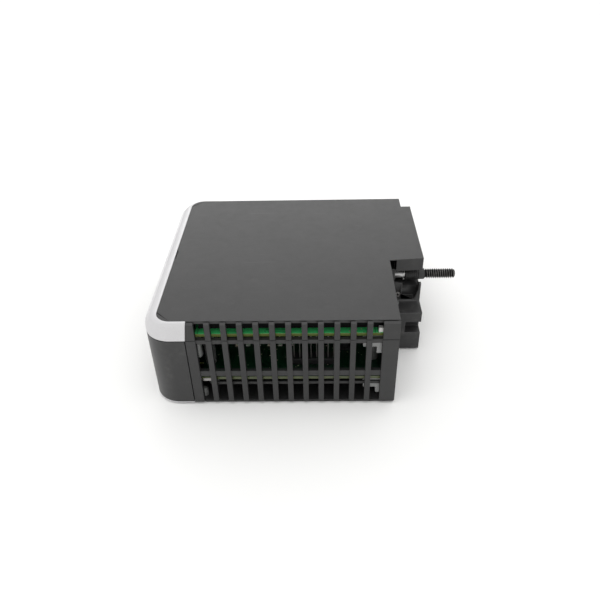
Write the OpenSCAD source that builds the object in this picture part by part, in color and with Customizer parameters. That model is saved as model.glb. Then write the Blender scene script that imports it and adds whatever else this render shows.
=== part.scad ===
// Controller module for a rack or rail backplane, lying on its side.
// +X points out of the back (the plug-in direction), -X out of the curved front,
// +Y along the module's height, +Z across its width.

/* [Case] */
// Height of the side plates, from end to end
case_h = 107; // [106:0.5:108]
// Width of the module across the two side plates
case_w = 47; // [46:0.5:48]
// Distance from the flat back wall to the front edge of the side plates
plate_depth = 101.8; // [101:0.2:103]
// Distance from the flat back wall to the face of the front cover
case_front = 108.6; // [108:0.2:109.4]
// How far the end walls stand proud of the side plates
wall_proud = 1.3; // [1:0.1:1.6]
// Radius of the side plate's front corners
plate_r = 6.5; // [5:0.5:7.5]
// Radius of the front cover's corners
front_r = 12; // [11:0.5:13]
// Height of the joint between the lower housing and the upper side cover
part_line = 37.2; // [37:0.1:37.4]

/* [Ventilation] */
// Distance between neighbouring vent slots
vent_pitch = 6.76; // [6.7:0.02:6.8]
// Width of one vent slot
vent_w = 4.4; // [4:0.1:4.6]
// Number of slots along the near end wall
vent_n = 12; // [10:1:12]
// Distance between neighbouring vent slots in the far end wall
far_pitch = 6.54; // [6.5:0.02:6.58]

/* [Rear block] */
// How far the rear block stands out behind the back wall
rear_depth = 16; // [15:0.5:17]
// Lower edge of the rear block, measured along the height
rear_lo = 35.7; // [35:0.1:37]
// Upper edge of the rear block, measured along the height
rear_hi = 97.9; // [97:0.1:98]
// Height of the step in the rear block's lower half
rear_step = 22.8; // [22:0.1:23.4]

/* [Mounting screw] */
// Position of the screw along the module's height
screw_y = 53.5; // [53:0.1:54]
// Height of the screw above the resting side
screw_z = 33.5; // [33.3:0.1:33.6]
// Tip of the screw, measured from the back wall
screw_tip = 33.2; // [31:0.1:36]
// Major radius of the screw thread
thread_r = 2.413; // [2.3:0.001:2.5]
// Radius of the plain shank
shank_r = 1.95; // [1.9:0.01:2]

/* [Boards] */
// Top face of the lower circuit board
board_lo_z = 14.4; // [14.2:0.1:14.6]
// Underside of the upper circuit board
board_hi_z = 37.4; // [37.3:0.1:37.5]
// Board thickness
board_t = 1.6; // [1.5:0.1:1.6]

/* [Hidden] */
$fn = 48;

org_x = (case_front - screw_tip) / 2;
org_y = -case_h / 2;
dark = [0.20, 0.20, 0.205];
darker = [0.14, 0.14, 0.145];
silver = [0.80, 0.79, 0.81];
pcb = [0.05, 0.36, 0.16];
grey = [0.68, 0.69, 0.68];
metal = [0.62, 0.62, 0.63];
t_wall = 2.3;
vent_x0 = -85.6;
far_x0 = -84.5;
far_rib = 2.1;
end_slant = 7.5;
rib_w = vent_pitch - vent_w;
front_end = -89.8;
z_low = 1.75;
rib_top = case_w - 0.1;
skin = 1.4;
seam = 0.25;
row2 = [19.7, 35.2];
row3 = [2, 16.8];
far_y = case_h + wall_proud;
back_far_x = 11.1;
collar_r = 2.9;
post_xy = [[-82.8, 12.0], [-82.8, 94.5], [-9, 14.5], [-9, 94.5]];
stud_xy = [[-85.6, 3.4], [-85.6, case_h - 3.4]];
jack_y = [13.5, 31.6];

module place() translate([org_x, org_y, 0]) children();
// Profile in the Y-Z plane, swept along X from x0 over length l
module along_x(x0, l) translate([x0, 0, 0]) rotate([90, 0, 90]) linear_extrude(l) children();

// Outline of a side plate: rounded at the front, stepped at the back
module plate_outline(g = 0) {
  translate([-plate_depth - g, plate_r]) square([plate_depth + g, case_h - 2 * plate_r]);
  translate([-plate_depth + plate_r, -g]) square([plate_depth - plate_r, case_h + 2 * g]);
  for (y = [plate_r, case_h - plate_r])
    translate([-plate_depth + plate_r, y]) circle(plate_r + g);
}
module rear_outline() {
  polygon([[-1, 44.9], [0, 44.9], [rear_depth, 46.3], [rear_depth, rear_hi],
    [back_far_x, rear_hi], [back_far_x, case_h], [-1, case_h]]);
}
// Outline of the front cover, from its rear edge x1 to its face
module front_outline(x1, g = 0) intersection() {
  union() {
    translate([-case_front + g, front_r - wall_proud])
      square([case_front + x1 - g, case_h + 2 * wall_proud - 2 * front_r]);
    translate([-case_front + front_r, g - wall_proud])
      square([case_front + x1 - front_r, case_h + 2 * wall_proud - 2 * g]);
    for (y = [front_r - wall_proud, case_h + wall_proud - front_r])
      translate([-case_front + front_r, y]) circle(front_r - g);
  }
  translate([-case_front - 1, -5]) square([case_front + 1 + x1, case_h + 10]);
}
// Rib of the upper wall, with its bevelled top; near end at y = 0
module upper_rib(x, w) along_x(x, w) polygon([[-wall_proud, part_line + seam],
  [1, part_line + seam], [1, case_w - 1], [0, case_w - 1], [0, case_w - skin],
  [-0.3, case_w - skin], [-0.3, rib_top - 0.3], [-wall_proud, rib_top - 1.1]]);
// Solid front end of the upper wall, slanted where it meets the silver band
module upper_end(x1) difference() {
  upper_rib(front_end, x1 - front_end);
  translate([front_end, -4, part_line]) rotate([0, end_slant, 0])
    translate([-20, 0, -6]) cube([20, 8, 30]);
}
module at_far() translate([0, case_h, 0]) mirror([0, 1, 0]) children();

module upper_side_cover() color(dark) place() {
  difference() {
    union() {
      translate([0, 0, case_w - skin]) linear_extrude(skin) plate_outline();
      translate([0, 0, case_w - 2]) linear_extrude(2) rear_outline();
      // skirt that hangs between the vents and the upper board
      for (y = [3.9, case_h - 4.9]) translate([-84.5, y, 40]) cube([78, 1, case_w - 1 - 40]);
      // near comb: solid ends and ribs
      upper_end(vent_x0);
      for (i = [1 : vent_n - 1]) upper_rib(vent_x0 + i * vent_pitch - rib_w, rib_w);
      upper_rib(vent_x0 + (vent_n - 1) * vent_pitch + vent_w,
        -(vent_x0 + (vent_n - 1) * vent_pitch + vent_w));
      // far comb
      at_far() {
        upper_end(far_x0);
        for (i = [1 : 13]) upper_rib(far_x0 + i * far_pitch - far_rib, far_rib);
        upper_rib(5, back_far_x - 5);
      }
      // back wall
      translate([-2, 0.5, part_line + 0.1]) cube([2, 44.4, case_w - 1 - part_line]);
      // slab over the screw channel: near face and rear face
      translate([0, 0, 40.5]) linear_extrude(5) difference() {
        polygon([[3.3, 44.9 + 3.3 * 1.4 / rear_depth], [rear_depth, 46.3], [rear_depth, rear_hi], [3.3, rear_hi]]);
        polygon([[5.1, 47.3], [14.2, 48.1], [14.2, rear_hi - 1.8], [5.1, rear_hi - 1.8]]);
      }
      translate([9.3, rear_hi, part_line + 0.1]) cube([1.8, 9.1, case_w - 1 - part_line]);
      // strips that close the top of the back wall beside the rear block
      translate([-2, 44.9, 41]) cube([2, 61, 5]);
    }
    // undercut beside the screw slab
    translate([0.02, 44, case_w - 3]) cube([3.28, 4, 2.5]);
    // finger-nail nick at the latch, in the front edge
    translate([-plate_depth - 1, 48, case_w - 1.2]) cube([1.6, 7.5, 3]);
  }
}

module near_wall_solid(x1) {
  along_x(front_end, x1 - front_end) polygon([[-wall_proud + 0.6, z_low], [1.2, z_low],
    [1.2, part_line], [-wall_proud + 0.6, part_line]]);
}
module lower_rib(x, w) translate([x, -wall_proud, z_low]) cube([w, 2.3, part_line - z_low]);
module slot_rows(x0, n, pitch, w) {
  for (i = [0 : n - 1], r = [row2, row3])
    translate([x0 + i * pitch, -3, r[0]]) cube([w, 4.3, r[1] - r[0]]);
}
module lower_housing() color(dark) place() {
  difference() {
    union() {
      // floor, on an inset foot pad
      translate([0, 0, z_low]) linear_extrude(2 - z_low) plate_outline();
      linear_extrude(2) offset(delta = -0.2) plate_outline();
      // near wall
      near_wall_solid(0);
      lower_rib(front_end, vent_x0 - front_end);
      for (i = [1 : vent_n - 1]) lower_rib(vent_x0 + i * vent_pitch - rib_w, rib_w);
      lower_rib(vent_x0 + (vent_n - 1) * vent_pitch + vent_w,
        -(vent_x0 + (vent_n - 1) * vent_pitch + vent_w));
      // far wall
      at_far() {
        near_wall_solid(back_far_x);
        lower_rib(front_end, far_x0 - front_end);
        for (i = [1 : 13]) lower_rib(far_x0 + i * far_pitch - far_rib, far_rib);
        lower_rib(5, back_far_x - 5);
      }
      // back wall
      translate([-2, 0, 1]) cube([2, case_h, part_line - 1]);
      // corner box behind the far end
      translate([-0.5, rear_hi + 0.2, z_low]) cube([back_far_x + 0.5, 9.5, 2]);
      translate([-0.5, rear_hi + 0.2, z_low]) cube([back_far_x + 0.5, 1.8, part_line - z_low]);
      translate([back_far_x - 1.8, rear_hi + 0.2, z_low]) cube([1.8, 9.5, part_line - z_low]);
      // board ledges behind the vents
      translate([-80.6, 1, 10]) cube([79.1, 1.1, 1.4]);
      translate([-80.6, case_h - 2.1, 10]) cube([79.1, 1.1, 1.4]);
      // tongues that the front cover snaps over
      for (y = [1.3, case_h - 2.6]) translate([-98.5, y, 1.5]) cube([9.2, 1.3, 33]);
      for (y = [1.3, case_h - 3.3]) translate([-90.6, y, 1.5]) cube([3, 2, 35.2]);
      for (y = [48, 58.6]) translate([-88, y, 1.5]) cube([3, 1.6, 26]);
    }
    slot_rows(vent_x0, vent_n, vent_pitch, vent_w);
    at_far() slot_rows(far_x0, 14, far_pitch, far_pitch - far_rib);
    // windows for the two plug connectors and the screw bore
    translate([-3, 43, 3.2]) cube([4, 52.4, 18.4]);
    translate([-3, 62, 25]) cube([4, 33.4, 14]);
    translate([-3, screw_y, screw_z]) rotate([0, 90, 0]) cylinder(r = 3.68, h = 4);
    translate([-3, screw_y - 3.6, screw_z + 0.5]) cube([4, 7.2, 6]);
    translate([-1, rear_hi + 2.2, 4]) cube([2, 6, 30]);
    // seat of the front cover on the floor
    translate([0, 0, 1.65]) linear_extrude(1) difference() {
      front_outline(-89.9, -1);
      front_outline(-85, 2.6);
    }
    // latch slots in the tongues
    for (y = [0.5, case_h - 3.5]) translate([-95.5, y, 15]) cube([2.5, 3, 8]);
  }
}

module front_fascia() color(darker) place() difference() {
  translate([0, 0, 1.7]) linear_extrude(part_line - 2) difference() {
    front_outline(-90.2);
    front_outline(-89, 2.4);
  }
  // screwdriver hole, jack windows, lens seat
  translate([-case_front - 1, screw_y, screw_z]) rotate([0, 90, 0]) cylinder(r = 2.7, h = 6);
  for (y = jack_y) translate([-case_front - 1, y - 0.2, board_lo_z - 0.2]) cube([6, 16.4, 13.8]);
  translate([-case_front - 1, 66, 15]) cube([2.4, 30, 9]);
  translate([-case_front - 1, 67, 16]) cube([6, 28, 7]);
}

// Rounded band between the side plate and the front cover
module silver_body(n = 7) hull() for (i = [0 : n]) {
  a = 90 * i / n;
  z = part_line + (case_w - part_line) * (0.12 + 0.88 * sin(a));
  d = 1 - cos(a);
  zz = i == 0 ? part_line : z;
  for (s = [0, 1]) {
    r = front_r - (front_r - plate_r) * d;
    fx = -case_front + (case_front - plate_depth) * d;
    ny = -wall_proud + wall_proud * max(0, (d - 0.35) / 0.65);
    translate([fx + r, s == 0 ? ny + r : case_h - ny - r, zz - 0.02])
      cylinder(r = r, h = 0.02, $fn = 36);
    translate([-90.2, s == 0 ? ny : case_h - ny - 0.02, zz - 0.02]) cube([0.4, 0.02, 0.02]);
  }
}
module silver_trim_upper() color(silver) place() difference() {
  silver_body();
  // seat of the side plate
  translate([0, 0, case_w - skin - 0.15]) linear_extrude(4) plate_outline(0.12);
  // hollow behind the band
  translate([0, 0, 30]) linear_extrude(case_w - skin - 30) front_outline(-80, 2.4);
  // rear ends of the band
  translate([front_end - 0.1, -10, part_line]) rotate([0, end_slant, 0])
    translate([0, 0, -6]) cube([20, case_h + 20, 30]);
}
module silver_trim_base() color(silver) place() translate([0, 0, 1.15]) linear_extrude(0.5)
  difference() {
    front_outline(-90.1);
    plate_outline(0.1);
    translate([-96, -0.1]) square([30, case_h + 0.2]);
  }

module status_lens() color([0.12, 0.13, 0.14, 0.6]) place() {
  translate([-case_front, 66.15, 15.15]) cube([1.2, 29.7, 8.7]);
}
module light_pipe() color([0.9, 0.93, 0.95, 0.5]) place() {
  for (i = [0 : 5]) translate([-case_front + 1.4, 69.4 + i * 4.4, 18]) cube([10.3, 2.2, 2.4]);
  translate([-case_front + 6, 68.4, 18.2]) cube([2, 26.4, 2]);
}
module indicator_leds() color([0.9, 0.95, 0.85]) place() {
  for (i = [0 : 5]) translate([-96, 69.3 + i * 4.4, board_lo_z]) {
    cube([3, 2.4, 3.2]);
    translate([0, 1.2, 4.6]) rotate([0, -90, 0]) cylinder(r = 1, h = 0.6);
    translate([0, 0.2, 3.2]) cube([3, 2, 2.4]);
  }
}

module connector_carrier() color(darker) place() difference() {
  union() {
    // lower half
    translate([0, rear_lo, 0.8]) cube([rear_depth, rear_hi - rear_lo, rear_step - 0.8]);
    // upper half, set back from the lower one
    translate([0, 45.6, rear_step - 1]) cube([rear_depth, rear_hi - 45.6, 40.4 - rear_step + 1]);
    // raised bead along the foot of the upper half
    translate([2, 45.1, 22.6]) cube([12.2, 1, 1.3]);
  }
  // keying pocket, open to the back and to the near side
  translate([8.4, rear_lo - 1, 10.8]) cube([20, 6.7, 6.5]);
  // sockets for the two plug connectors
  translate([2, 44, 3.8]) cube([20, 50.4, 17]);
  translate([2, 62.5, 25.4]) cube([20, 31.9, 12.2]);
  translate([-1, 44.6, 5.2]) cube([4, 49, 14]);
  translate([-1, 63.5, 27]) cube([4, 30, 9]);
  // screw channel, with a raised near lip
  translate([3.3, 47.4, 29.6]) cube([20, 12.4, 20]);
  translate([3.3, 45, 33]) cube([20, 4, 20]);
  translate([-1, 44, 33.6]) cube([4.4, 3.2, 8]);
  translate([-1, screw_y, screw_z]) rotate([0, 90, 0]) cylinder(r = 2.35, h = 6);
  // recess in the near side of the upper half, with one sloping end
  translate([0, 49.4, 0]) rotate([90, 0, 0]) linear_extrude(5)
    polygon([[7, 24], [13, 24], [14.8, 29.2], [14.8, 34], [7, 34]]);
  // seats of the eyelet and the earthing tab
  translate([5, 45, 27]) rotate([-90, 0, 0]) cylinder(r = 0.95, h = 4);
}

// Plug connector block: rows of contact cells facing backwards
module plug_body(y0, z0, l, h, ny, nz) difference() {
  union() {
    translate([3.2, y0, z0]) cube([6.2, l, h]);
    translate([-6, y0 + 1.2, z0 + 2]) cube([9.3, l - 2.4, min(h - 4, 6.6)]);
  }
  for (i = [0 : ny - 1], j = [0 : nz - 1])
    translate([6.4, y0 + l / 2 + (i - (ny - 1) / 2) * 2.54 - 0.7,
      z0 + h / 2 + (j - (nz - 1) / 2) * 3.4 - 0.7]) cube([4, 1.4, 1.4]);
}
module plug_contacts(y0, z0, l, h, ny, nz) {
  for (i = [0 : ny - 1], j = [0 : nz - 1])
    translate([6.4, y0 + l / 2 + (i - (ny - 1) / 2) * 2.54 - 0.35,
      z0 + h / 2 + (j - (nz - 1) / 2) * 3.4 - 0.35]) cube([2.6, 0.7, 0.7]);
}
module power_connector_body() color(grey) place() plug_body(44.3, 4.1, 49.8, 16.4, 16, 3);
module power_connector_contacts() color([0.85, 0.7, 0.3]) place()
  plug_contacts(44.3, 4.1, 49.8, 16.4, 16, 3);
module bus_connector_body() color(grey) place() plug_body(62.8, 25.7, 31.3, 11.6, 10, 2);
module bus_connector_contacts() color([0.85, 0.7, 0.3]) place()
  plug_contacts(62.8, 25.7, 31.3, 11.6, 10, 2);

module ground_eyelet() color([0.85, 0.84, 0.8]) place() translate([5, 0, 27])
  difference() {
    union() {
      translate([0, 45.1, 0]) rotate([-90, 0, 0]) cylinder(r = 1.3, h = 0.5);
      translate([0, 45.5, 0]) rotate([-90, 0, 0]) cylinder(r = 0.92, h = 2.9);
    }
    translate([0, 44, 0]) rotate([-90, 0, 0]) cylinder(r = 0.62, h = 6);
  }
module ground_tab() color(grey) place() {
  translate([3.9, 42.6, rear_step]) cube([1.6, 2.2, 0.9]);
}

module mounting_screw() color([0.12, 0.12, 0.125]) place()
  translate([0, screw_y, screw_z]) rotate([0, 90, 0]) difference() {
    union() {
      translate([0, 0, -92]) cylinder(r = shank_r, h = 107.5);
      translate([0, 0, -97]) cylinder(r = 3.95, h = 5);
      translate([0, 0, 15.1]) cylinder(r = 2.75, h = 3.4);
      translate([0, 0, 18.4]) cylinder(r = thread_r, h = screw_tip - 1.2 - 18.4);
      translate([0, 0, screw_tip - 1.2]) cylinder(r1 = thread_r, r2 = 1.35, h = 1.2);
    }
    // hexagon socket in the head
    translate([0, 0, -98]) cylinder(r = 2.3, h = 3.6, $fn = 6);
  }
module screw_collar() color([0.09, 0.09, 0.09]) place()
  translate([0, screw_y, screw_z]) rotate([0, 90, 0]) difference() {
    translate([0, 0, 8.7]) cylinder(r = collar_r, h = 6.3);
    translate([0, 0, 5]) cylinder(r = shank_r + 0.06, h = 12);
  }
module retaining_ring() color(metal) place()
  translate([0, screw_y, screw_z]) rotate([0, 90, 0]) difference() {
    translate([0, 0, 7.9]) cylinder(r = 3.1, h = 0.6);
    translate([0, 0, 7]) cylinder(r = shank_r, h = 3);
    translate([-1.3, -5, 7]) cube([2.6, 5 - shank_r * 0.7, 3]);
  }
module screw_guide_tube() color(darker) place()
  translate([0, screw_y, screw_z]) rotate([0, 90, 0]) difference() {
    union() {
      translate([0, 0, -103]) cylinder(r = 5.4, h = 15);
      translate([0, 0, -88.5]) cylinder(r = 3.6, h = 88.4);
    }
    translate([0, 0, -104]) cylinder(r = 4.4, h = 12.1);
    translate([0, 0, -104]) cylinder(r = 2.35, h = 120);
  }

module round_holes(pts, r, z, h) for (p = pts) translate([p[0], p[1], z]) cylinder(r = r, h = h);
module upper_board() color(pcb) place() difference() {
  translate([-86.2, 1.5, board_hi_z]) cube([83.4, 104, board_t]);
  round_holes(post_xy, 1.4, board_hi_z - 1, 4);
}
module lower_board() color(pcb) place() difference() {
  union() {
    translate([-86.1, 1.5, board_lo_z - board_t]) cube([83.5, 104, board_t]);
    translate([-105.4, 11.5, board_lo_z - board_t]) cube([20, 86, board_t]);
  }
  round_holes(post_xy, 1.3, board_lo_z - 3, 5);
  for (y = [48, 58.6]) translate([-88.2, y - 0.2, 10]) cube([3.4, 2, 8]);
}
module upper_board_bracket() color(grey) place() {
  translate([-14.7, 2.2, 30.6]) cube([8.9, 4.6, board_hi_z - 30.6]);
  translate([-8.8, 2.2, 27.1]) cube([3, 4.6, 4]);
}
module lower_board_bracket() color(grey) place() {
  translate([-13.9, 2.25, 6.9]) cube([8.2, 4.6, board_lo_z - board_t - 6.9]);
  translate([-8.4, 2.25, 3.6]) cube([2.7, 4.6, 3.8]);
}
module housing_posts() color(grey) place() {
  for (p = post_xy) translate([p[0], p[1], 2]) difference() {
    cylinder(r = 2.6, h = board_lo_z - board_t - 2);
    translate([0, 0, 4]) cylinder(r = 1.25, h = 10);
  }
  // short locating studs with rounded tops
  for (p = stud_xy) translate([p[0], p[1], 2]) {
    cylinder(r = 1.5, h = 3);
    translate([0, 0, 3]) cylinder(r1 = 1.5, r2 = 0.8, h = 1.1);
  }
}
module board_spacers() color(grey) place() {
  for (p = post_xy) translate([p[0], p[1], 0]) difference() {
    union() {
      translate([0, 0, board_lo_z]) cylinder(r = 2.5, h = board_hi_z - board_lo_z);
      translate([0, 0, board_lo_z - 5.5]) cylinder(r = 1.2, h = 6);
    }
    translate([0, 0, board_hi_z - 6]) cylinder(r = 1.25, h = 8);
  }
  // studs under the front corners of the upper board, with rounded ends
  for (p = stud_xy) translate([p[0], p[1], 24.8]) {
    translate([0, 0, 1.2]) cylinder(r = 1.5, h = board_hi_z - 26);
    cylinder(r1 = 0.8, r2 = 1.5, h = 1.2);
  }
}
module board_screws() color(metal) place() for (p = post_xy) translate([p[0], p[1], 0])
  difference() {
    union() {
      translate([0, 0, board_hi_z + board_t]) cylinder(r = 2.3, h = 1.5);
      translate([0, 0, board_hi_z - 5]) cylinder(r = 1.2, h = 5 + board_t + 0.2);
    }
    for (a = [0, 90]) rotate([0, 0, a]) translate([-1.6, -0.3, board_hi_z + board_t + 0.8])
      cube([3.2, 0.6, 2]);
  }
module stacking_header() color([0.07, 0.07, 0.07]) place() {
  translate([-46, 9, board_lo_z]) cube([21, 5, 3.4]);
  translate([-46, 9, board_hi_z - 2.6]) cube([21, 5, 2.6]);
}
module stacking_pins() color([0.86, 0.82, 0.7]) place() for (i = [0 : 7], j = [0 : 1])
  translate([-44.7 + i * 2.54 - 0.32, 10.3 + j * 2.4 - 0.32, board_lo_z + 3.4])
    cube([0.64, 0.64, board_hi_z - 2.6 - board_lo_z - 3.4]);

module jack_shields() color(metal) place() for (y = jack_y)
  translate([-case_front + 0.3, y, board_lo_z]) difference() {
    cube([16, 16, 13.4]);
    translate([0.4, 0.35, 0.35]) cube([15.2, 15.3, 12.7]);
    translate([-1, 1.9, 2]) cube([3, 12.2, 9.2]);
    translate([-1, 5.3, 0.9]) cube([3, 5.4, 3]);
  }
module jack_inserts() color([0.06, 0.06, 0.06]) place() for (y = jack_y)
  translate([-case_front + 0.3, y, board_lo_z]) difference() {
    translate([0.45, 0.4, 0.4]) cube([15.1, 15.2, 12.6]);
    translate([-1, 1.9, 2]) cube([14, 12.2, 9.2]);
    translate([-1, 5.3, 0.9]) cube([14, 5.4, 3]);
  }
module jack_contacts() color([0.88, 0.72, 0.3]) place() for (y = jack_y, i = [0 : 7])
  translate([-case_front + 0.3, y + 4.2 + i * 1.02, board_lo_z + 10.2]) cube([10, 0.4, 0.6]);

module processor() color([0.09, 0.09, 0.1]) place() {
  translate([-62, 64, board_lo_z]) cube([23, 23, 0.6]);
  translate([-60.5, 65.5, board_lo_z + 0.6]) cube([20, 20, 1.4]);
}
module heat_sink() color([0.35, 0.36, 0.38]) place() translate([-61.5, 64.5, board_lo_z + 2]) {
  cube([22, 22, 2]);
  for (i = [0 : 7]) translate([0, i * 2.93, 2]) cube([22, 1.4, 7]);
}
module memory_chips() color([0.08, 0.08, 0.085]) place()
  for (y = [63, 74, 85]) translate([-37.5, y, board_lo_z]) cube([11.4, 8, 1.1]);
module jack_transformers() color([0.08, 0.08, 0.09]) place()
  for (y = [15, 33]) translate([-89, y, board_lo_z]) cube([7.4, 12.6, 5.6]);
module filter_capacitors() color([0.22, 0.24, 0.32]) place()
  for (p = [[-71, 90], [-71, 78], [-60, 96], [-48, 96]])
    translate([p[0], p[1], board_lo_z]) { cylinder(r = 4, h = 10.5); cylinder(r = 4.2, h = 0.8); }
module power_inductors() color([0.16, 0.16, 0.17]) place()
  for (p = [[-22, 24], [-22, 38]]) translate([p[0] - 5, p[1] - 5, board_lo_z]) {
    cube([10, 10, 1]);
    translate([5, 5, 0]) cylinder(r = 4.7, h = 4.6);
  }
module clock_crystal() color(metal) place() translate([-72, 65, board_lo_z]) cube([5, 3.4, 1.4]);
module small_components() color([0.82, 0.80, 0.75]) place() {
  for (i = [0 : 5], j = [0 : 2]) translate([-73 + i * 5.1, 22 + j * 4.2, board_lo_z])
    cube([2, 1.2, 0.8]);
  for (i = [0 : 3], j = [0 : 4]) translate([-17.5 + i * 3.6, 44 + j * 3.1, board_lo_z])
    cube([1.6, 0.9, 0.7]);
  for (i = [0 : 8]) translate([-80 + i * 8.2, 8 + (i % 3) * 3.5, board_hi_z + board_t])
    cube([2, 1.2, 0.8]);
}
module jumper_block() color([0.93, 0.93, 0.92]) place()
  translate([-8.5, 1.7, board_hi_z + board_t]) cube([1.9, 2, 2.3]);
module power_converter() color([0.1, 0.1, 0.11]) place()
  translate([-76, 62, board_hi_z + board_t]) cube([28, 24, 4.4]);
module edge_clip() color([0.85, 0.85, 0.82]) place() {
  translate([-85.4, 1.22, 12.1]) cube([4.2, 1.6, 0.6]);
  translate([-85.4, 1.22, 12.1]) cube([4.2, 0.22, 1.6]);
}
module backup_capacitor() color([0.15, 0.2, 0.4]) place()
  translate([-18, 82, board_lo_z]) { cylinder(r = 7, h = 5.4); translate([-7.6, -3, 0]) cube([15.2, 6, 0.5]); }
module interface_chips() color([0.08, 0.08, 0.085]) place() {
  for (y = [24, 38]) translate([-66, y + 8, board_lo_z]) cube([9, 7, 1.4]);
  for (x = [-80, -60, -40, -24]) translate([x, 28, board_hi_z + board_t]) cube([10, 7, 1.5]);
  translate([-40, 62, board_hi_z + board_t]) cube([16, 16, 1.6]);
}

lower_housing();
upper_side_cover();
front_fascia();
silver_trim_upper();
silver_trim_base();
status_lens();
light_pipe();
connector_carrier();
bus_connector_body();
bus_connector_contacts();
power_connector_body();
power_connector_contacts();
ground_eyelet();
ground_tab();
mounting_screw();
screw_collar();
retaining_ring();
screw_guide_tube();
upper_board();
lower_board();
upper_board_bracket();
lower_board_bracket();
housing_posts();
board_spacers();
board_screws();
stacking_header();
stacking_pins();
jack_shields();
jack_inserts();
jack_contacts();
processor();
heat_sink();
memory_chips();
jack_transformers();
filter_capacitors();
power_inductors();
clock_crystal();
small_components();
indicator_leds();
jumper_block();
power_converter();
edge_clip();
backup_capacitor();
interface_chips();
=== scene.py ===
import math
import random

import bmesh
import bpy
from mathutils import Matrix, Vector


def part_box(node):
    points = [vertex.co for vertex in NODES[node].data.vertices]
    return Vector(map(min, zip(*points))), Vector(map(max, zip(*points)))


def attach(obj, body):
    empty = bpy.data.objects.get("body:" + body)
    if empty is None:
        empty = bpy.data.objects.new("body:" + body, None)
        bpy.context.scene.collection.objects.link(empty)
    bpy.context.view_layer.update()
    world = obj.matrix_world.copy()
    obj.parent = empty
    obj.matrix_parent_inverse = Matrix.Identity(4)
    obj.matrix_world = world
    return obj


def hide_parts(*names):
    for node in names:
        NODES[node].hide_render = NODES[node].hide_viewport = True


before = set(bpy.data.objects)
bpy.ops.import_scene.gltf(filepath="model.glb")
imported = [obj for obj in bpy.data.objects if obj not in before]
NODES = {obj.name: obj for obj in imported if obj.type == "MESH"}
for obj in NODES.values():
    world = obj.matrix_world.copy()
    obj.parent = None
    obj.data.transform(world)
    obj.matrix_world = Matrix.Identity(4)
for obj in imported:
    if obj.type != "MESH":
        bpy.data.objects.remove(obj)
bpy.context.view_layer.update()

scene = bpy.context.scene
BODY = "case"

# Design coordinates: x from the flat back wall, y from the lower end of the side plate, z up,
# all in millimetres. at() turns them into the row frame, in metres.
TIP = 33.2
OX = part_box("mounting_screw")[1].x * 1000 - TIP
_ylo, _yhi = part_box("upper_side_cover")[0].y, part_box("upper_side_cover")[1].y
OY = (_ylo + _yhi) * 500 - 53.5


SCREW = (53.5, 33.5)


def at(x, y, z):
    return Vector(((x + OX) / 1000, (y + OY) / 1000, z / 1000))


# ---------------------------------------------------------------- materials

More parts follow.
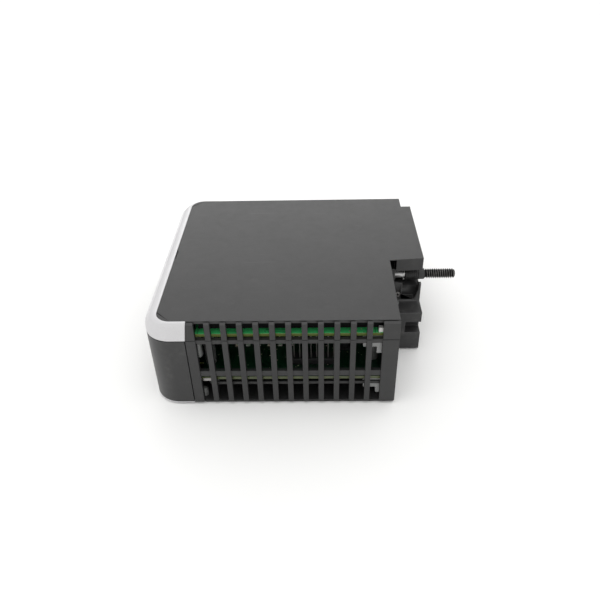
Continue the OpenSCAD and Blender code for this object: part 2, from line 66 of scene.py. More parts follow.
class Mat:
    """Small helper for a node material in object space (metres)."""

    def __init__(self, name, **sockets):
        self.m = bpy.data.materials.new(name)
        self.m.use_nodes = True
        self.nt = self.m.node_tree
        self.b = self.nt.nodes["Principled BSDF"]
        self.tc = self.nt.nodes.new("ShaderNodeTexCoord")
        for k, v in sockets.items():
            self.b.inputs[k.replace("_", " ")].default_value = v

    def link(self, a, b):
        self.nt.links.new(a, b)

    def coord(self, scale=(1, 1, 1), rot=(0, 0, 0)):
        mp = self.nt.nodes.new("ShaderNodeMapping")
        mp.inputs["Scale"].default_value = scale
        mp.inputs["Rotation"].default_value = rot
        self.link(self.tc.outputs["Object"], mp.inputs["Vector"])
        return mp.outputs["Vector"]

    def noise(self, scale, detail=4, rough=0.55, vec=None, dist=0.0):
        n = self.nt.nodes.new("ShaderNodeTexNoise")
        n.inputs["Scale"].default_value = scale
        n.inputs["Detail"].default_value = detail
        n.inputs["Roughness"].default_value = rough
        n.inputs["Distortion"].default_value = dist
        self.link(vec if vec is not None else self.tc.outputs["Object"], n.inputs["Vector"])
        return n.outputs["Fac"]

    def voronoi(self, scale, feature="F1", vec=None, out="Distance"):
        n = self.nt.nodes.new("ShaderNodeTexVoronoi")
        n.feature = feature
        n.inputs["Scale"].default_value = scale
        self.link(vec if vec is not None else self.tc.outputs["Object"], n.inputs["Vector"])
        return n.outputs[out]

    def ramp(self, fac, stops, interp="LINEAR"):
        r = self.nt.nodes.new("ShaderNodeValToRGB")
        r.color_ramp.interpolation = interp
        e = r.color_ramp.elements
        while len(e) < len(stops):
            e.new(0.5)
        for i, (p, c) in enumerate(stops):
            e[i].position = p
            e[i].color = (*c, 1) if len(c) == 3 else c
        self.link(fac, r.inputs["Fac"])
        return r.outputs["Color"]

    def fit(self, val, a0, a1, b0, b1):
        n = self.nt.nodes.new("ShaderNodeMapRange")
        n.inputs["From Min"].default_value = a0
        n.inputs["From Max"].default_value = a1
        n.inputs["To Min"].default_value = b0
        n.inputs["To Max"].default_value = b1
        self.link(val, n.inputs["Value"])
        return n.outputs["Result"]

    def math(self, op, a, b=None):
        n = self.nt.nodes.new("ShaderNodeMath")
        n.operation = op
        for i, v in enumerate((a, b)):
            if v is None:
                continue
            if isinstance(v, (int, float)):
                n.inputs[i].default_value = v
            else:
                self.link(v, n.inputs[i])
        return n.outputs[0]

    def mix(self, fac, a, b, mode="MIX"):
        n = self.nt.nodes.new("ShaderNodeMix")
        n.data_type = "RGBA"
        n.blend_type = mode
        if isinstance(fac, (int, float)):
            n.inputs["Factor"].default_value = fac
        else:
            self.link(fac, n.inputs["Factor"])
        for s, v in (("A", a), ("B", b)):
            sock = [i for i in n.inputs if i.name == s and i.type == "RGBA"][0]
            if isinstance(v, tuple):
                sock.default_value = (*v, 1) if len(v) == 3 else v
            else:
                self.link(v, sock)
        return [o for o in n.outputs if o.type == "RGBA"][0]

    def bump(self, height, strength, dist, prev=None):
        n = self.nt.nodes.new("ShaderNodeBump")
        n.inputs["Strength"].default_value = strength
        n.inputs["Distance"].default_value = dist
        self.link(height, n.inputs["Height"])
        if prev is not None:
            self.link(prev, n.inputs["Normal"])
        return n.outputs["Normal"]

    def xyz(self, which="Position"):
        s = self.nt.nodes.new("ShaderNodeSeparateXYZ")
        if which == "Normal":
            g = self.nt.nodes.new("ShaderNodeTexCoord")
            self.link(g.outputs["Normal"], s.inputs[0])
        else:
            self.link(self.tc.outputs["Object"], s.inputs[0])
        return s.outputs


def moulded(name, col, rough=0.5, grain=1900, grain_h=0.000018, var=0.10, spec=0.5, dust=0.25, scratch=0.35):
    """Moulded plastic: spark-eroded grain, slow colour drift, faint handling marks and dust."""
    m = Mat(name)
    m.b.inputs["Specular IOR Level"].default_value = spec
    c = Vector(col)
    slow = m.noise(28, 3, 0.5)
    fine = m.noise(grain, 2, 0.6)
    mid = m.noise(240, 4, 0.6)
    base = m.ramp(slow, [(0.3, tuple(c * (1 - var))), (0.7, tuple(c * (1 + var)))])
    speck = m.ramp(fine, [(0.35, (0.93, 0.93, 0.93)), (0.65, (1.07, 1.07, 1.07))])
    base = m.mix(1.0, base, speck, "MULTIPLY")
    # settled dust, in soft patches and fine specks
    dn = m.math("MULTIPLY", m.fit(m.noise(75, 6, 0.72), 0.5, 0.8, 0, 1), m.fit(mid, 0.4, 0.75, 0, 1))
    d2 = m.fit(m.voronoi(620), 0.0, 0.09, 1, 0)
    d2 = m.math("MULTIPLY", d2, m.fit(m.noise(90, 2, 0.5), 0.56, 0.66, 0, 0.5))
    dustf = m.math("MINIMUM", m.math("ADD", m.math("MULTIPLY", dn, dust), m.math("MULTIPLY", d2, dust)), 0.5)
    base = m.mix(dustf, base, (0.34, 0.335, 0.32))
    # hairline handling marks in two directions
    sc = None
    for rot, sx in ((0.5, 26), (-0.9, 31), (1.6, 22)):
        v = m.coord((sx, 900, 60), (0, 0, rot))
        f = m.fit(m.noise(1.0, 2, 0.5, v), 0.66, 0.74, 0, 1)
        gate = m.fit(m.noise(21, 2, 0.5, m.coord((1, 1, 1), (rot, rot, 0))), 0.52, 0.66, 0, 1)
        f = m.math("MULTIPLY", f, gate)
        sc = f if sc is None else m.math("MAXIMUM", sc, f)
    scf = m.math("MULTIPLY", sc, scratch)
    base = m.mix(scf, base, tuple(min(1, v * 1.9 + 0.02) for v in col))
    m.link(base, m.b.inputs["Base Color"])
    r = m.fit(mid, 0.3, 0.7, rough - 0.03, rough + 0.035)
    r = m.math("ADD", r, m.math("MULTIPLY", dustf, 0.5))
    r = m.math("SUBTRACT", r, m.math("MULTIPLY", scf, 0.12))
    m.link(r, m.b.inputs["Roughness"])
    n = m.bump(fine, 0.55, grain_h)
    n = m.bump(mid, 0.10, 0.00002, n)
    m.link(n, m.b.inputs["Normal"])
    return m.m


def worn_edge_and_painted_highlight(name, col, rough=0.36):
    """The rounded edges of a moulded part: a little lighter and smoother from handling, plus a painted highlight that
    lifts the edge colour above the part's own colour.
    """
    m = Mat(name)
    c = Vector(col)
    f = m.noise(160, 5, 0.65)
    # painted highlight: edge colour ramps from 0.95 to 1.35 times the part colour plus a little, lighter than the faces
    m.link(m.ramp(f, [(0.35, tuple(c * 0.95)), (0.7, tuple(c * 1.35 + Vector((0.012,) * 3)))]), m.b.inputs["Base Color"])
    m.link(m.fit(f, 0.3, 0.7, rough, rough + 0.12), m.b.inputs["Roughness"])
    m.link(m.bump(m.noise(1900, 2), 0.35, 0.000012), m.b.inputs["Normal"])
    return m.m


def metal(name, col, rough=0.3, aniso=(60, 2600, 60), var=0.12):
    m = Mat(name, Metallic=1.0)
    c = Vector(col)
    streak = m.noise(1.0, 3, 0.6, m.coord(aniso))
    slow = m.noise(180, 4, 0.6)
    m.link(m.ramp(slow, [(0.3, tuple(c * (1 - var))), (0.7, tuple(c * (1 + var)))]), m.b.inputs["Base Color"])
    m.link(m.math("ADD", m.fit(streak, 0.3, 0.7, rough - 0.07, rough + 0.07), m.fit(slow, 0.4, 0.75, 0, 0.1)), m.b.inputs["Roughness"])
    m.link(m.bump(streak, 0.25, 0.00001), m.b.inputs["Normal"])
    return m.m


CASE_C = (0.0180, 0.0180, 0.0182)
FASC_C = (0.0190, 0.0190, 0.0192)
MATS = {}
MATS["case"] = moulded("case_moulded_grain", CASE_C, 0.46, var=0.06, dust=0.10)
# painted shade: near-black copy of the case plastic, standing in for the shade inside the case
MATS["inner"] = moulded("case_inner_face_painted_shade", (0.0045, 0.0045, 0.0046), 0.75, spec=0.12, dust=0.02, scratch=0.05)
# the *_edge materials are wear plus a painted highlight along the bevelled edges; carrier_edge also starts from a
# lighter colour than carrier
MATS["case_edge"] = worn_edge_and_painted_highlight("case_edge_rub_and_painted_highlight", CASE_C)
MATS["fascia"] = moulded("fascia_satin_moulding", FASC_C, 0.40, grain=2600, grain_h=0.000008, dust=0.18)
MATS["fascia_edge"] = worn_edge_and_painted_highlight("fascia_edge_rub_and_painted_highlight", FASC_C, 0.32)
MATS["carrier"] = moulded("carrier_moulding", (0.0175, 0.0175, 0.0178), 0.46, grain=2200, dust=0.3)
MATS["carrier_edge"] = worn_edge_and_painted_highlight("carrier_edge_rub_and_painted_highlight", (0.028, 0.028, 0.0285), 0.34)
MATS["nylon_black"] = moulded("black_nylon", (0.014, 0.014, 0.014), 0.52, grain=3000, dust=0.1)
MATS["dull"] = moulded("stand_off_plastic", (0.16, 0.165, 0.16), 0.4, grain=2400, var=0.05, dust=0.1, scratch=0.1)
MATS["dull_edge"] = worn_edge_and_painted_highlight("stand_off_edge_painted_highlight", (0.19, 0.195, 0.19), 0.36)
MATS["grey"] = moulded("connector_glass_filled", (0.36, 0.365, 0.36), 0.48, grain=2400, var=0.05, dust=0.1, scratch=0.1)
MATS["grey_edge"] = worn_edge_and_painted_highlight("connector_edge_painted_highlight", (0.40, 0.405, 0.40), 0.4)
MATS["white"] = moulded("white_nylon", (0.78, 0.78, 0.75), 0.45, grain=2400, var=0.04, dust=0.05, scratch=0.05)
MATS["resin"] = moulded("chip_epoxy", (0.016, 0.016, 0.017), 0.42, grain=5200, grain_h=0.000006, dust=0.06, scratch=0.05)
MATS["gold"] = metal("contact_gold_plate", (0.85, 0.60, 0.24), 0.22)
MATS["tin"] = metal("bright_tin_plate", (0.70, 0.70, 0.69), 0.27)
MATS["pin"] = metal("header_pin_plate", (0.16, 0.16, 0.15), 0.4)
MATS["nickel"] = metal("eyelet_nickel", (0.36, 0.35, 0.34), 0.36)
MATS["sink"] = metal("anodised_aluminium", (0.20, 0.205, 0.215), 0.42, (2600, 60, 60))


def silver_paint():
    m = Mat("silver_band_paint")
    m.b.inputs["Metallic"].default_value = 0.22
    m.b.inputs["Coat Weight"].default_value = 0.12
    m.b.inputs["Coat Roughness"].default_value = 0.3
    flake = m.voronoi(9000, out="Color")
    sep = m.nt.nodes.new("ShaderNodeSeparateColor")
    m.link(flake, sep.inputs[0])
    slow = m.noise(35, 3, 0.5)
    c = m.ramp(slow, [(0.3, (0.570, 0.565, 0.574)), (0.7, (0.603, 0.598, 0.608))])
    c = m.mix(1.0, c, m.ramp(sep.outputs[0], [(0.1, (0.95, 0.95, 0.95)), (0.9, (1.04, 1.04, 1.04))]), "MULTIPLY")
    mark = m.math("MULTIPLY", m.fit(m.noise(1.0, 2, 0.5, m.coord((30, 700, 120), (0, 0, 0.7))), 0.67, 0.75, 0, 1),
                  m.fit(m.noise(30, 2), 0.5, 0.62, 0, 0.35))
    c = m.mix(mark, c, (0.42, 0.41, 0.40))
    m.link(c, m.b.inputs["Base Color"])
    m.link(m.fit(m.noise(420, 4, 0.6), 0.3, 0.7, 0.34, 0.46), m.b.inputs["Roughness"])
    m.link(m.bump(m.noise(3200, 2), 0.25, 0.000006), m.b.inputs["Normal"])
    return m.m


def board(name, seed, base=(0.045, 0.42, 0.125), rim=1.0):
    """Solder mask over copper traces, with bare laminate on the cut edges; rim below 1 darkens the laminate edges as
    painted shade.
    """
    m = Mat(name)
    m.b.inputs["Coat Weight"].default_value = 0.35
    m.b.inputs["Coat Roughness"].default_value = 0.18
    mask = base
    over = tuple(v * 1.6 for v in base)
    # traces: parallel runs in patches that change direction
    w1 = m.nt.nodes.new("ShaderNodeTexWave")
    w1.bands_direction = "X"
    w1.inputs["Scale"].default_value = 260
    w1.inputs["Distortion"].default_value = 0
    w2 = m.nt.nodes.new("ShaderNodeTexWave")
    w2.bands_direction = "Y"
    w2.inputs["Scale"].default_value = 260
    w3 = m.nt.nodes.new("ShaderNodeTexWave")
    w3.bands_direction = "DIAGONAL"
    w3.inputs["Scale"].default_value = 210
    for w in (w1, w2, w3):
        m.link(m.tc.outputs["Object"], w.inputs["Vector"])
    cell = m.nt.nodes.new("ShaderNodeTexVoronoi")
    cell.distance = "CHEBYCHEV"
    cell.inputs["Scale"].default_value = 115
    cell.inputs["Randomness"].default_value = 0.8
    off = m.nt.nodes.new("ShaderNodeMapping")
    off.inputs["Location"].default_value = (seed * 0.13, seed * 0.07, 0)
    m.link(m.tc.outputs["Object"], off.inputs["Vector"])
    m.link(off.outputs[0], cell.inputs["Vector"])
    sc = m.nt.nodes.new("ShaderNodeSeparateColor")
    m.link(cell.outputs["Color"], sc.inputs[0])
    tr = m.mix(m.fit(sc.outputs[0], 0.45, 0.46, 0, 1), w1.outputs["Color"], w2.outputs["Color"])
    tr = m.mix(m.fit(sc.outputs[1], 0.72, 0.73, 0, 1), tr, w3.outputs["Color"])
    trf = m.ramp(tr, [(0.55, (0, 0, 0)), (0.62, (1, 1, 1))])
    pour = m.fit(sc.outputs[2], 0.70, 0.71, 0, 1)
    trf = m.math("MAXIMUM", trf, pour)
    col = m.mix(trf, mask, over)
    # plated holes and pads
    vd = m.voronoi(520)
    via = m.fit(vd, 0.15, 0.19, 1, 0)
    gate = m.fit(m.noise(160, 1), 0.5, 0.55, 0, 1)
    col = m.mix(m.math("MULTIPLY", via, gate), col, (0.62, 0.58, 0.42))
    # painted shade: near-black discs where the holes go through, standing in for the shade inside the bores
    hole = m.math("MULTIPLY", m.fit(vd, 0.06, 0.08, 1, 0), gate)
    col = m.mix(hole, col, (0.01, 0.012, 0.01))
    nz = m.xyz("Normal")[2]
    flat = m.fit(m.math("ABSOLUTE", nz), 0.55, 0.6, 0, 1)
    z = m.xyz()[2]
    lay = m.nt.nodes.new("ShaderNodeTexWave")
    lay.bands_direction = "Z"
    lay.inputs["Scale"].default_value = 700
    m.link(m.tc.outputs["Object"], lay.inputs["Vector"])
    edge = m.ramp(lay.outputs["Color"], [(0.3, (0.10, 0.125, 0.02)), (0.7, (0.17, 0.20, 0.045))])
    edge = m.mix(m.fit(m.noise(700, 3), 0.4, 0.7, 0, 0.6), edge, (0.12, 0.20, 0.05))
    # painted shade: rim below 1 darkens the laminate edges
    edge = m.mix(1.0, edge, (rim, rim, rim), "MULTIPLY")
    col = m.mix(flat, edge, col)
    m.link(col, m.b.inputs["Base Color"])
    m.link(m.fit(m.noise(300, 3), 0.3, 0.7, 0.28, 0.42), m.b.inputs["Roughness"])
    m.link(m.bump(trf, 0.5, 0.00003), m.b.inputs["Normal"])
    return m.m


def black_oxide():
    m = Mat("screw_black_oxide", Metallic=1.0)
    m.b.inputs["Metallic"].default_value = 0.85
    slow = m.noise(420, 5, 0.65)
    c = m.ramp(slow, [(0.3, (0.055, 0.053, 0.051)), (0.62, (0.10, 0.097, 0.094)), (0.8, (0.20, 0.195, 0.19))])
    # painted highlight on the thread crests and painted shade in the thread roots: roots darkened to near-black, crests
    # lightened
    _, ly, lz = m.xyz()
    dz = m.math("SUBTRACT", lz, at(0, *SCREW)[2])
    dy = m.math("SUBTRACT", ly, at(0, *SCREW)[1])
    rad = m.math("SQRT", m.math("ADD", m.math("MULTIPLY", dy, dy), m.math("MULTIPLY", dz, dz)))
    root = m.fit(rad, 0.0018, 0.0022, 1, 0)
    crest = m.math("MULTIPLY", m.fit(rad, 0.0022, 0.0024, 0, 1), m.fit(rad, 0.00244, 0.00246, 1, 0))
    c = m.mix(m.math("MULTIPLY", root, 0.85), c, (0.016, 0.016, 0.016))
    c = m.mix(m.math("MULTIPLY", crest, m.fit(slow, 0.35, 0.6, 0.2, 0.9)), c, (0.36, 0.35, 0.34))
    m.link(c, m.b.inputs["Base Color"])
    m.link(m.fit(slow, 0.3, 0.7, 0.32, 0.5), m.b.inputs["Roughness"])
    m.link(m.bump(m.noise(1500, 3), 0.25, 0.00001), m.b.inputs["Normal"])
    return m.m


def bright_shank():
    m = Mat("screw_bright_shank", Metallic=1.0)
    turn = m.noise(1.0, 2, 0.5, m.coord((5200, 30, 30)))
    m.link(m.ramp(m.noise(260, 4), [(0.3, (0.56, 0.56, 0.56)), (0.7, (0.70, 0.70, 0.695))]), m.b.inputs["Base Color"])
    m.link(m.fit(turn, 0.3, 0.7, 0.40, 0.56), m.b.inputs["Roughness"])
    m.link(m.bump(turn, 0.2, 0.00001), m.b.inputs["Normal"])
    return m.m


def lens_mat():
    m = Mat("smoked_lens")
    m.b.inputs["Transmission Weight"].default_value = 0.25
    m.b.inputs["IOR"].default_value = 1.49
    f = m.noise(900, 3)
    m.link(m.ramp(f, [(0.3, (0.012, 0.013, 0.015)), (0.7, (0.022, 0.024, 0.027))]), m.b.inputs["Base Color"])
    m.link(m.fit(m.noise(120, 4), 0.3, 0.7, 0.08, 0.17), m.b.inputs["Roughness"])
    return m.m


def clear_mat():
    m = Mat("clear_light_guide")
    m.b.inputs["Transmission Weight"].default_value = 0.85
    m.b.inputs["IOR"].default_value = 1.49
    f = m.noise(300, 3)
    m.link(m.ramp(f, [(0.3, (0.82, 0.87, 0.9)), (0.7, (0.9, 0.94, 0.96))]), m.b.inputs["Base Color"])
    m.link(m.fit(f, 0.3, 0.7, 0.05, 0.15), m.b.inputs["Roughness"])
    return m.m


def sleeve():
    m = Mat("capacitor_sleeve")
    z = m.xyz()[2]
    f = m.noise(500, 4)
    c = m.ramp(f, [(0.3, (0.018, 0.022, 0.05)), (0.7, (0.028, 0.032, 0.07))])
    m.link(c, m.b.inputs["Base Color"])
    m.link(m.fit(f, 0.3, 0.7, 0.22, 0.34), m.b.inputs["Roughness"])
    m.link(m.bump(m.noise(260, 2), 0.2, 0.00003), m.b.inputs["Normal"])
    return m.m


def ceramic():
    m = Mat("ceramic_chips")
    cell = m.nt.nodes.new("ShaderNodeTexVoronoi")
    cell.inputs["Scale"].default_value = 230
    m.link(m.tc.outputs["Object"], cell.inputs["Vector"])
    sc = m.nt.nodes.new("ShaderNodeSeparateColor")
    m.link(cell.outputs["Color"], sc.inputs[0])
    c = m.ramp(sc.outputs[0], [(0.0, (0.62, 0.60, 0.55)), (0.45, (0.52, 0.44, 0.34)), (0.75, (0.78, 0.77, 0.74))], "CONSTANT")
    c = m.mix(m.fit(m.noise(1800, 3), 0.35, 0.7, 0, 0.3), c, (0.9, 0.9, 0.88))
    m.link(c, m.b.inputs["Base Color"])
    m.link(m.fit(m.noise(900, 2), 0.3, 0.7, 0.25, 0.45), m.b.inputs["Roughness"])
    return m.m


def led_mat():
    m = Mat("led_resin")
    f = m.noise(1400, 3)
    m.link(m.ramp(f, [(0.3, (0.78, 0.84, 0.72)), (0.7, (0.86, 0.9, 0.8))]), m.b.inputs["Base Color"])
    m.b.inputs["Subsurface Weight"].default_value = 0.1
    m.link(m.fit(f, 0.3, 0.7, 0.18, 0.3), m.b.inputs["Roughness"])
    return m.m


MATS["silver"] = silver_paint()
MATS["shoulder"] = moulded("shoulder_oxide", (0.020, 0.020, 0.020), 0.5, grain=3000, dust=0.1)
MATS["board_a"] = board("board_upper_mask", 1)
# painted shade: the lower board is a far darker copy of the board material, its laminate edges halved by rim, standing
# in for the shade inside the case
MATS["board_b"] = board("board_lower_mask_painted_shade", 4, (0.0016, 0.020, 0.008), 0.5)
MATS["oxide"] = black_oxide()
MATS["shank"] = bright_shank()
MATS["lens"] = lens_mat()
MATS["clear"] = clear_mat()
MATS["sleeve"] = sleeve()
MATS["ceramic"] = ceramic()
MATS["led"] = led_mat()


# ---------------------------------------------------------------- mesh helpers

def new_object(name, bm, mats, body=BODY, smooth_angle=40, weighted=True, nodes=()):
    me = bpy.data.meshes.new(name)
    bm.normal_update()
    bm.to_mesh(me)
    bm.free()
    for m in mats:
        me.materials.append(MATS[m])
    ob = bpy.data.objects.new(name, me)
    scene.collection.objects.link(ob)
    me.polygons.foreach_set("use_smooth", [True] * len(me.polygons))
    me.set_sharp_from_angle(angle=math.radians(smooth_angle))
    if weighted:
        wn = ob.modifiers.new("normals", "WEIGHTED_NORMAL")
        wn.keep_sharp = True
        wn.weight = 60
    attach(ob, body)
    if nodes:
        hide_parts(*nodes)
    return ob


def refine(node, mats, w=0.2, seg=2, ang=28, body=BODY, name=None):
    """The CAD node as a finished moulding: flat faces merged, every outer edge rounded."""
    bm = bmesh.new()
    bm.from_mesh(NODES[node].data)
    bmesh.ops.remove_doubles(bm, verts=bm.verts, dist=2e-6)
    bmesh.ops.dissolve_limit(bm, angle_limit=math.radians(0.4), verts=bm.verts, edges=bm.edges, use_dissolve_boundaries=False)
    for f in bm.faces:
        f.material_index = 0
    lim = 2.4 * w / 1000
    short = set()
    for e in bm.edges:
        if e.calc_length() < lim:
            short.update(e.verts)
    edges = [e for e in bm.edges if len(e.link_faces) == 2 and e.calc_face_angle(0) > math.radians(ang)
             and not (e.verts[0] in short or e.verts[1] in short)]
    # the bevel faces take the last material slot: for two-slot parts that is the edge material with its painted
    # highlight
    if edges and w > 0:
        bmesh.ops.bevel(bm, geom=edges, offset=w / 1000, offset_type="OFFSET", segments=seg, profile=0.5,
                        affect="EDGES", clamp_overlap=True, material=len(mats) - 1, loop_slide=True)
    bmesh.ops.triangulate(bm, faces=[f for f in bm.faces if len(f.verts) > 4], quad_method="BEAUTY", ngon_method="BEAUTY")
    return new_object(name or node + "_piece", bm, mats, body, 42, True, (node,))


def quads_from_rings(bm, rings, closed=True, mat=0):
    """Faces between successive rings of vertices."""
    vs = [[bm.verts.new(p) for p in r] for r in rings]
    n = len(rings[0])
    for a, b in zip(vs, vs[1:]):
        for i in range(n if closed else n - 1):
            j = (i + 1) % n
            try:
                f = bm.faces.new((a[i], a[j], b[j], b[i]))
                f.material_index = mat
            except ValueError:
                pass
    return vs


# ---------------------------------------------------------------- silver band

def band_outline(d, g, z=37.2, steps=22):
    """Half-outline points of the band at blend d (0 at the foot, 1 at the side plate), offset inwards by g."""
    front_r, plate_r = 12.0, 6.5
    fx = -108.6 + (108.6 - 101.8) * d
    ny = -1.3 + 1.3 * max(0.0, (d - 0.35) / 0.65)
    r = front_r - (front_r - plate_r) * d
    x0, y0, y1 = fx + g, ny + g, 107 - ny - g
    r = max(0.6, r - g)
    pts = []
    end = -89.93 + (z - 37.2) * 0.1317
    for k in range(5):
        pts.append((end + (x0 + r - end) * k / 4, y0))
    for k in range(1, steps + 1):
        a = math.pi / 2 * k / steps
        pts.append((x0 + r - r * math.sin(a), y0 + r - r * math.cos(a)))
    for k in range(1, 13):
        pts.append((x0, y0 + r + (y1 - y0 - 2 * r) * k / 12))
    for k in range(1, steps + 1):
        a = math.pi / 2 * k / steps
        pts.append((x0 + r - r * math.cos(a), y1 - r + r * math.sin(a)))
    for k in range(1, 5):
        pts.append((x0 + r + (end - x0 - r) * k / 4, y1))
    return pts


def silver_band():
    bm = bmesh.new()
    z0, z1 = 37.2, 47.0
    levels = []
    # outer skin: short rounded foot, straight side, long elliptical shoulder, rounded top lip
    prof = [(0.0, z0 + 0.03, 0.10), (0.0, z0 + 0.13, 0.0), (0.0, z0 + 0.6, 0.0)]
    for i in range(0, 25):
        a = math.pi / 2 * i / 24
        d = (1 - math.cos(a))
        z = z0 + (z1 - z0) * (0.12 + 0.88 * math.sin(a))
        if i == 24:
            d, z = 0.985, z1 - 0.02
        prof.append((d, z, 0.0))
    prof = [p for k, p in enumerate(prof)]
    rings = []
    for d, z, g in prof:
        rings.append([at(x, y, z) for x, y in band_outline(d, g, z)])
    # inner edge beside the plate, down to the seat, then the hollow inside
    inner = [(1.0, z1 - 0.12, -0.14), (1.0, z1 - 1.5, -0.14)]
    for d, z, g in inner:
        rings.append([at(x, y, z) for x, y in band_outline(d, g, z)])
    for z in (z1 - 1.52, z0 + 0.1):
        rings.append([at(x, y, z) for x, y in band_outline(0.0, 2.35, z)])
    vs = quads_from_rings(bm, rings, closed=False)
    # close the loop at the foot and at both rear ends
    first, last = vs[0], vs[-1]
    for i in range(len(first) - 1):
        bm.faces.new((last[i], last[i + 1], first[i + 1], first[i]))
    for side in (0, -1):
        loop = [r[side] for r in vs]
        try:
            bm.faces.new(loop)
        except ValueError:
            pass
    bmesh.ops.recalc_face_normals(bm, faces=bm.faces)
    bmesh.ops.triangulate(bm, faces=[f for f in bm.faces if len(f.verts) > 4])
    return new_object("silver_band", bm, ["silver"], BODY, 50, True, ("silver_trim_upper",))


silver_band()


# ---------------------------------------------------------------- screw

def revolve(bm, prof, centre, n=64, mat_of=None, wob=None):
    """Lathe about the X axis through centre (design y, z). prof is a list of (x, r)."""
    cy, cz = centre
    rings = []
    for x, r in prof:
        ring = []
        for i in range(n):
            a = 2 * math.pi * i / n
            rr = r if wob is None else wob(x, r, a)
            ring.append(at(x, cy + rr * math.cos(a), cz + rr * math.sin(a)))
        rings.append(ring)
    vs = [[bm.verts.new(p) for p in r] for r in rings]
    for k, (a, b) in enumerate(zip(vs, vs[1:])):
        m = 0 if mat_of is None else mat_of(0.5 * (prof[k][0] + prof[k + 1][0]))
        for i in range(n):
            j = (i + 1) % n
            f = bm.faces.new((a[i], b[i], b[j], a[j]))
            f.material_index = m
    return vs


def mounting_screw():
    bm = bmesh.new()
    n = 96
    pitch, r_max, r_min = 1.058, 2.413, 1.68

    def thread_r(x, a):
        t = (x / pitch - a / (2 * math.pi)) % 1.0
        # sixty-degree form: flat crest, straight flanks, rounded root
        if t < 0.10:
            k = 1.0
        elif t < 0.50:
            k = 1 - (t - 0.10) / 0.40
        elif t < 0.60:
            k = 0.0
        else:
            k = (t - 0.60) / 0.40
        return r_min + (r_max - r_min) * k

    def wob(x, r, a):
        if r < 0:          # marker: threaded zone, -r is the envelope
            return min(-r, thread_r(x, a))
        if -96.6 < x < -92.6:
            return r * (1 - 0.022 * (0.5 + 0.5 * math.cos(a * 24)))
        return r

    prof = [(-96.98, 3.55), (-96.85, 3.78), (-96.55, 3.93), (-92.7, 3.93), (-92.35, 3.86), (-92.05, 3.6), (-92.0, 2.2), (-91.8, 1.98), (-91.5, 1.95)]
    x = -86.0
    while x < 7.0:
        prof.append((x, 1.95))
        x += 7.5
    prof += [(7.6, 1.95), (15.05, 1.95), (15.1, 2.5), (15.28, 2.72), (17.9, 2.72), (18.2, 2.62), (18.4, 2.2), (18.46, 1.86)]
    x = 18.55
    tip = TIP
    while x < tip - 0.02:
        env = 2.413
        if x < 19.4:
            env = 1.86 + (2.413 - 1.86) * (x - 18.5) / 0.9
        d = tip - x
        if d < 1.9:        # domed dog point
            env = min(env, 0.95 + 1.46 * math.sqrt(max(0.0, 1 - ((1.9 - d) / 1.9) ** 2.4)))
        prof.append((x, -env))
        x += pitch / 14
    prof.append((tip - 0.01, -0.95))
    vs = revolve(bm, prof, SCREW, n, lambda x: 1 if -91 < x < 15.0 else (2 if 15.0 < x < 18.3 else 0), wob)
    # domed end
    tipc = bm.verts.new(at(tip, *SCREW))
    for i in range(n):
        bm.faces.new((vs[-1][i], tipc, vs[-1][(i + 1) % n]))
    # head face with a hexagon socket
    cy, cz = SCREW

    def hexpt(i, r):
        a = 2 * math.pi * i / n
        k = math.cos(math.pi / 6) / math.cos((a % (math.pi / 3)) - math.pi / 6)
        return r * k * math.cos(a), r * k * math.sin(a)

    rings = []
    for x, r in ((-96.98, 2.34), (-96.75, 2.22), (-93.5, 2.22), (-93.2, 1.9)):
        rings.append([bm.verts.new(at(x, cy + hexpt(i, r)[0], cz + hexpt(i, r)[1])) for i in range(n)])
    prev = vs[0]
    for ring in rings:
        for i in range(n):
            j = (i + 1) % n
            bm.faces.new((prev[j], ring[j], ring[i], prev[i]))
        prev = ring
    c = bm.verts.new(at(-92.9, cy, cz))
    for i in range(n):
        bm.faces.new((prev[(i + 1) % n], c, prev[i]))
    bmesh.ops.recalc_face_normals(bm, faces=bm.faces)
    return new_object("mounting_screw_threaded", bm, ["oxide", "shank", "shoulder"], "screw", 32, False, ("mounting_screw",))


mounting_screw()


def collar():
    bm = bmesh.new()
    prof = [(8.72, 2.05), (8.72, 2.55), (8.95, 2.84), (9.2, 2.88)]
    for k in range(5):
        x = 9.7 + k * 1.02
        prof += [(x, 2.88), (x + 0.12, 2.74), (x + 0.42, 2.74), (x + 0.54, 2.88)]
    prof += [(14.75, 2.88), (14.92, 2.8), (15.0, 2.55), (15.0, 2.05)]
    n = 64
    vs = revolve(bm, prof, SCREW, n)
    a, b = vs[0], vs[-1]
    inner = []
    for ring, x in ((b, 14.9), (a, 8.82)):
        inner.append([bm.verts.new(at(x, SCREW[0] + 2.01 * math.cos(2 * math.pi * i / n), SCREW[1] + 2.01 * math.sin(2 * math.pi * i / n))) for i in range(n)])
    chain = [b, inner[0], inner[1], a]
    for p, q in zip(chain, chain[1:]):
        for i in range(n):
            j = (i + 1) % n
            bm.faces.new((p[i], q[i], q[j], p[j]))
    bmesh.ops.recalc_face_normals(bm, faces=bm.faces)
    return new_object("screw_collar_ribbed", bm, ["nylon_black"], "screw_slider", 35, True, ("screw_collar",))


collar()
refine("retaining_ring", ["tin"], 0.08, 1, body="screw")

# ---------------------------------------------------------------- case parts

cover = refine("upper_side_cover", ["case", "case_edge"], 0.22, 3)
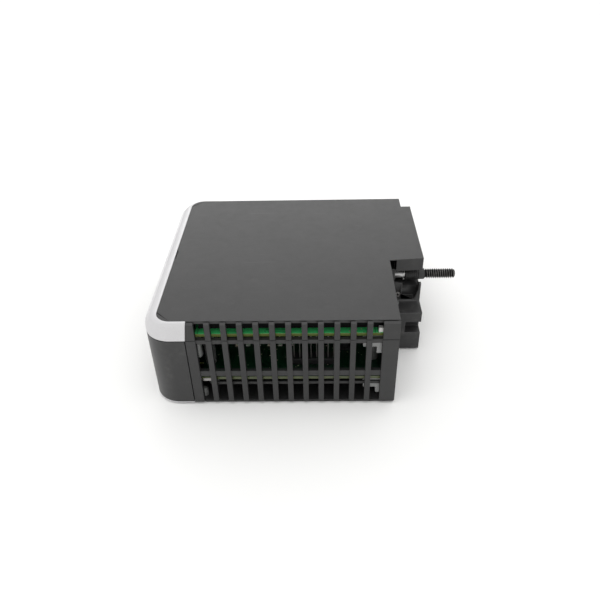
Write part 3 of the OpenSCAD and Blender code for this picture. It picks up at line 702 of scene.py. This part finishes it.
# painted shade: the skirt faces inside the cover's slot rows get the near-black inner material
cover.data.materials.append(MATS["inner"])
for p in cover.data.polygons:
    py, pz = p.center.y * 1000 - OY, p.center.z * 1000
    if (3.6 < py < 5.2 or 101.8 < py < 103.4) and pz > 39.5:
        p.material_index = 2
refine("lower_housing", ["case", "case_edge"], 0.20, 2)
refine("front_fascia", ["fascia", "fascia_edge"], 0.25, 3)
refine("silver_trim_base", ["silver"], 0.15, 2)
refine("connector_carrier", ["carrier", "carrier_edge"], 0.25, 2)
refine("status_lens", ["lens"], 0.15, 2)
refine("light_pipe", ["clear"], 0.1, 1)
refine("bus_connector_body", ["grey", "grey_edge"], 0.12, 1)
refine("power_connector_body", ["grey", "grey_edge"], 0.12, 1)
refine("bus_connector_contacts", ["gold"], 0.06, 1)
refine("power_connector_contacts", ["gold"], 0.06, 1)
refine("ground_eyelet", ["nickel"], 0.1, 2)
refine("ground_tab", ["dull", "dull_edge"], 0.12, 2)
refine("screw_guide_tube", ["nylon_black"], 0.2, 2)
refine("upper_board", ["board_a"], 0.05, 1)
refine("lower_board", ["board_b"], 0.05, 1)
refine("upper_board_bracket", ["grey", "grey_edge"], 0.25, 2)
refine("lower_board_bracket", ["grey", "grey_edge"], 0.25, 2)
refine("housing_posts", ["dull", "dull_edge"], 0.2, 2)
refine("board_spacers", ["dull", "dull_edge"], 0.2, 2)
refine("board_screws", ["tin"], 0.1, 2)
refine("stacking_header", ["resin"], 0.15, 1)
refine("stacking_pins", ["pin"], 0.06, 1)
refine("jack_shields", ["tin"], 0.12, 1)
refine("jack_inserts", ["resin"], 0.12, 1)
refine("jack_contacts", ["gold"], 0.08, 1)
for nd in ("processor", "memory_chips", "interface_chips", "power_converter", "jack_transformers", "power_inductors"):
    refine(nd, ["resin"], 0.12, 1)
refine("heat_sink", ["sink"], 0.12, 1)
refine("filter_capacitors", ["sleeve"], 0.3, 2)
refine("backup_capacitor", ["sleeve"], 0.3, 2)
refine("clock_crystal", ["tin"], 0.3, 2)
refine("small_components", ["ceramic"], 0.08, 1)
refine("indicator_leds", ["led"], 0.08, 1)
refine("jumper_block", ["white"], 0.15, 2)
refine("edge_clip", ["nickel"], 0.08, 1)

# ---------------------------------------------------------------- floor, light, camera

def floor():
    bm = bmesh.new()
    n, s = 24, 2.6
    grid = [[bm.verts.new((s * (i / n - 0.5) * 2, s * (j / n - 0.5) * 2, 0)) for i in range(n + 1)] for j in range(n + 1)]
    for j in range(n):
        for i in range(n):
            bm.faces.new((grid[j][i], grid[j][i + 1], grid[j + 1][i + 1], grid[j + 1][i]))
    me = bpy.data.meshes.new("table_top")
    bm.to_mesh(me)
    bm.free()
    ob = bpy.data.objects.new("table_top", me)
    scene.collection.objects.link(ob)
    m = Mat("table_top_white")
    m.b.inputs["Specular IOR Level"].default_value = 0.25
    c = m.ramp(m.noise(6, 4), [(0.3, (0.895, 0.895, 0.888)), (0.7, (0.912, 0.912, 0.905))])
    scr = None
    for rot, sy in ((0.5, 120), (-0.8, 90), (1.9, 100)):
        v = m.coord((3, sy, 1), (0, 0, rot))
        f = m.math("MULTIPLY", m.fit(m.noise(1.0, 3, 0.6, v, 0.4), 0.68, 0.75, 0, 1), m.fit(m.noise(4, 3, 0.5, m.coord((1, 1, 1), (0, 0, rot))), 0.5, 0.65, 0, 0.16))
        scr = f if scr is None else m.math("MAXIMUM", scr, f)
    c = m.mix(scr, c, (0.72, 0.72, 0.715))
    m.link(c, m.b.inputs["Base Color"])
    m.link(m.fit(m.noise(30, 3), 0.3, 0.7, 0.5, 0.65), m.b.inputs["Roughness"])
    me.materials.append(m.m)
    return ob


floor()

world = scene.world or bpy.data.worlds.new("studio")
scene.world = world
world.use_nodes = True
wn = world.node_tree
bg = wn.nodes.get("Background") or wn.nodes.new("ShaderNodeBackground")
tc = wn.nodes.new("ShaderNodeTexCoord")
sep = wn.nodes.new("ShaderNodeSeparateXYZ")
wn.links.new(tc.outputs["Generated"], sep.inputs[0])
mp = wn.nodes.new("ShaderNodeMapRange")
mp.inputs["From Min"].default_value = 0.22
mp.inputs["From Max"].default_value = 1.0
mp.inputs["To Min"].default_value = 1.10
mp.inputs["To Max"].default_value = 0.80
low = wn.nodes.new("ShaderNodeMapRange")
low.inputs["From Min"].default_value = 0.0
low.inputs["From Max"].default_value = 0.30
low.inputs["To Min"].default_value = 0.62
low.inputs["To Max"].default_value = 1.0
wn.links.new(sep.outputs[2], low.inputs["Value"])
both = wn.nodes.new("ShaderNodeMath")
both.operation = "MULTIPLY"
wn.links.new(sep.outputs[2], mp.inputs["Value"])
wn.links.new(mp.outputs[0], both.inputs[0])
wn.links.new(low.outputs[0], both.inputs[1])
wn.links.new(both.outputs[0], bg.inputs["Strength"])
bg.inputs["Color"].default_value = (1.0, 0.998, 0.993, 1)
WORLD_GAIN = mp


def area(name, loc, target, size, energy, col=(1, 1, 1)):
    li = bpy.data.lights.new(name, "AREA")
    li.shape = "RECTANGLE"
    li.size, li.size_y = size
    li.energy = energy
    li.color = col
    ob = bpy.data.objects.new(name, li)
    scene.collection.objects.link(ob)
    ob.location = loc
    d = Vector(target) - Vector(loc)
    ob.rotation_euler = d.to_track_quat("-Z", "Y").to_euler()
    return ob


area("softbox_top", (-0.10, -0.25, 1.15), (0, 0, 0.02), (1.1, 0.9), 5.0)
area("softbox_back", (-0.15, 1.30, 0.62), (0, 0, 0.03), (1.2, 0.35), 2.9)

cam_d = bpy.data.cameras.new("studio_camera")
cam = bpy.data.objects.new("studio_camera", cam_d)
scene.collection.objects.link(cam)
scene.camera = cam
F_PX = 614.3
cam_d.sensor_fit = "HORIZONTAL"
cam_d.sensor_width = 36.0
cam_d.lens = 36.0 * F_PX / 600.0
cam_d.clip_start = 0.01
cam_d.clip_end = 20
pitch, yaw, roll = (math.radians(a) for a in (36.310, -1.954, -1.684))
fwd = Vector((math.sin(yaw) * math.cos(pitch), math.cos(yaw) * math.cos(pitch), -math.sin(pitch)))
right = Vector((math.cos(yaw), -math.sin(yaw), 0))
up = right.cross(fwd)
r2 = right * math.cos(roll) + up * math.sin(roll)
u2 = -right * math.sin(roll) + up * math.cos(roll)
rot = Matrix((r2, u2, -fwd)).transposed()
cam.matrix_world = Matrix.Translation(at(-34.27, -197.82, 202.84)) @ rot.to_4x4()

scene.view_settings.view_transform = "Standard"
scene.view_settings.look = "None"
scene.view_settings.exposure = 0.0
scene.view_settings.gamma = 1.0
